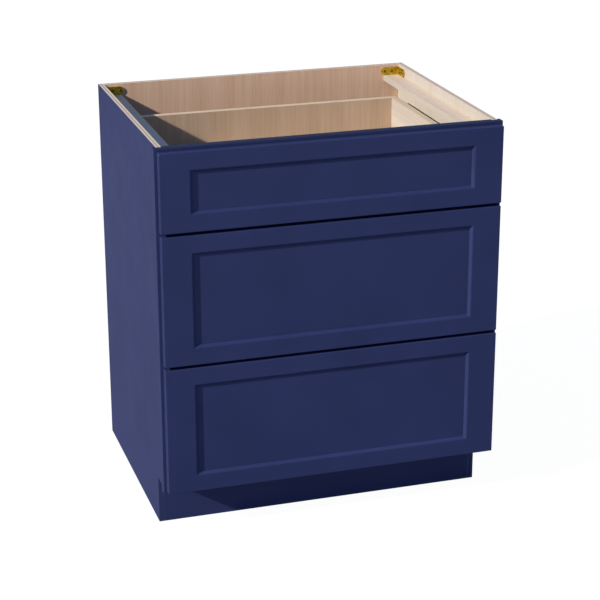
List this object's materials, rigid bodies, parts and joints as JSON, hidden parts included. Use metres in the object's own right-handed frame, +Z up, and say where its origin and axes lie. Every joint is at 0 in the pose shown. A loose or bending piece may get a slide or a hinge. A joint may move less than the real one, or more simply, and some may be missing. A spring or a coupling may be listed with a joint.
{
  "type": "bathroom vanity base cabinet",
  "caption": "Navy shaker vanity base cabinet with an open top, toe recess and drawers on undermount slides.",
  "frame": {"origin": "middle of the outer box, on the floor that the cabinet stands on", "axes": "+Z up, -Y out of the drawer fronts, +X to the right seen from the front"},
  "size_m": [0.762, 0.6216, 0.8763],
  "materials": {
    "navy_paint": "satin navy lacquer on wood and MDF",
    "maple_ply": "clear-coated pale maple plywood",
    "tan_veneer": "clear-coated tan veneer, grain upright",
    "brass_brace": "brass-plated stamped steel",
    "zinc_slide": "bright zinc plate on rolled steel",
    "nylon_bracket": "moulded grey nylon"
  },
  "bodies": {
    "cabinet": {"back_panel": "tan_veneer", "bottom_drawer_left_slide_bracket": "nylon_bracket", "bottom_drawer_left_slide_rail": "zinc_slide", "bottom_drawer_right_slide_bracket": "nylon_bracket", "bottom_drawer_right_slide_rail": "zinc_slide", "bottom_panel": "maple_ply", "bottom_rail": "navy_paint", "left_corner_brace": "brass_brace", "left_side_panel": "navy_paint", "left_stile": "navy_paint", "left_top_cleat": "maple_ply", "lower_mid_rail": "navy_paint", "middle_drawer_left_slide_bracket": "nylon_bracket", "middle_drawer_left_slide_rail": "zinc_slide", "middle_drawer_right_slide_bracket": "nylon_bracket", "middle_drawer_right_slide_rail": "zinc_slide", "right_corner_brace": "brass_brace", "right_side_panel": "navy_paint", "right_stile": "navy_paint", "right_top_cleat": "maple_ply", "toe_kick_board": "navy_paint", "top_drawer_left_slide_bracket": "nylon_bracket", "top_drawer_left_slide_rail": "zinc_slide", "top_drawer_right_slide_bracket": "nylon_bracket", "top_drawer_right_slide_rail": "zinc_slide", "top_rail": "navy_paint", "upper_mid_rail": "navy_paint"},
    "top_drawer": {"top_drawer_box_back": "tan_veneer", "top_drawer_box_bottom": "maple_ply", "top_drawer_box_front": "maple_ply", "top_drawer_box_left": "maple_ply", "top_drawer_box_right": "maple_ply", "top_drawer_front_frame": "navy_paint", "top_drawer_front_panel": "navy_paint", "top_drawer_left_slide_runner": "zinc_slide", "top_drawer_right_slide_runner": "zinc_slide"},
    "top_drawer_slides": {"top_drawer_left_slide_middle": "zinc_slide", "top_drawer_right_slide_middle": "zinc_slide"},
    "middle_drawer": {"middle_drawer_box_back": "tan_veneer", "middle_drawer_box_bottom": "maple_ply", "middle_drawer_box_front": "maple_ply", "middle_drawer_box_left": "maple_ply", "middle_drawer_box_right": "maple_ply", "middle_drawer_front_frame": "navy_paint", "middle_drawer_front_panel": "navy_paint", "middle_drawer_left_slide_runner": "zinc_slide", "middle_drawer_right_slide_runner": "zinc_slide"},
    "middle_drawer_slides": {"middle_drawer_left_slide_middle": "zinc_slide", "middle_drawer_right_slide_middle": "zinc_slide"},
    "bottom_drawer": {"bottom_drawer_box_back": "tan_veneer", "bottom_drawer_box_bottom": "maple_ply", "bottom_drawer_box_front": "maple_ply", "bottom_drawer_box_left": "maple_ply", "bottom_drawer_box_right": "maple_ply", "bottom_drawer_front_frame": "navy_paint", "bottom_drawer_front_panel": "navy_paint", "bottom_drawer_left_slide_runner": "zinc_slide", "bottom_drawer_right_slide_runner": "zinc_slide"},
    "bottom_drawer_slides": {"bottom_drawer_left_slide_middle": "zinc_slide", "bottom_drawer_right_slide_middle": "zinc_slide"}
  },
  "joints": [
    {"name": "top_drawer_pull", "type": "slide", "parent": "cabinet", "child": "top_drawer", "axis": [0, -1, 0], "range_m": [0, 0.48]},
    {"name": "top_drawer_slides_travel", "type": "slide", "parent": "cabinet", "child": "top_drawer_slides", "axis": [0, -1, 0], "range_m": [0, 0.24]},
    {"name": "middle_drawer_pull", "type": "slide", "parent": "cabinet", "child": "middle_drawer", "axis": [0, -1, 0], "range_m": [0, 0.48]},
    {"name": "middle_drawer_slides_travel", "type": "slide", "parent": "cabinet", "child": "middle_drawer_slides", "axis": [0, -1, 0], "range_m": [0, 0.24]},
    {"name": "bottom_drawer_pull", "type": "slide", "parent": "cabinet", "child": "bottom_drawer", "axis": [0, -1, 0], "range_m": [0, 0.48]},
    {"name": "bottom_drawer_slides_travel", "type": "slide", "parent": "cabinet", "child": "bottom_drawer_slides", "axis": [0, -1, 0], "range_m": [0, 0.24]}
  ],
  "couplings": [
    {"joint": "top_drawer_slides_travel", "follows": "top_drawer_pull", "ratio": 0.5},
    {"joint": "middle_drawer_slides_travel", "follows": "middle_drawer_pull", "ratio": 0.5},
    {"joint": "bottom_drawer_slides_travel", "follows": "bottom_drawer_pull", "ratio": 0.5}
  ]
}
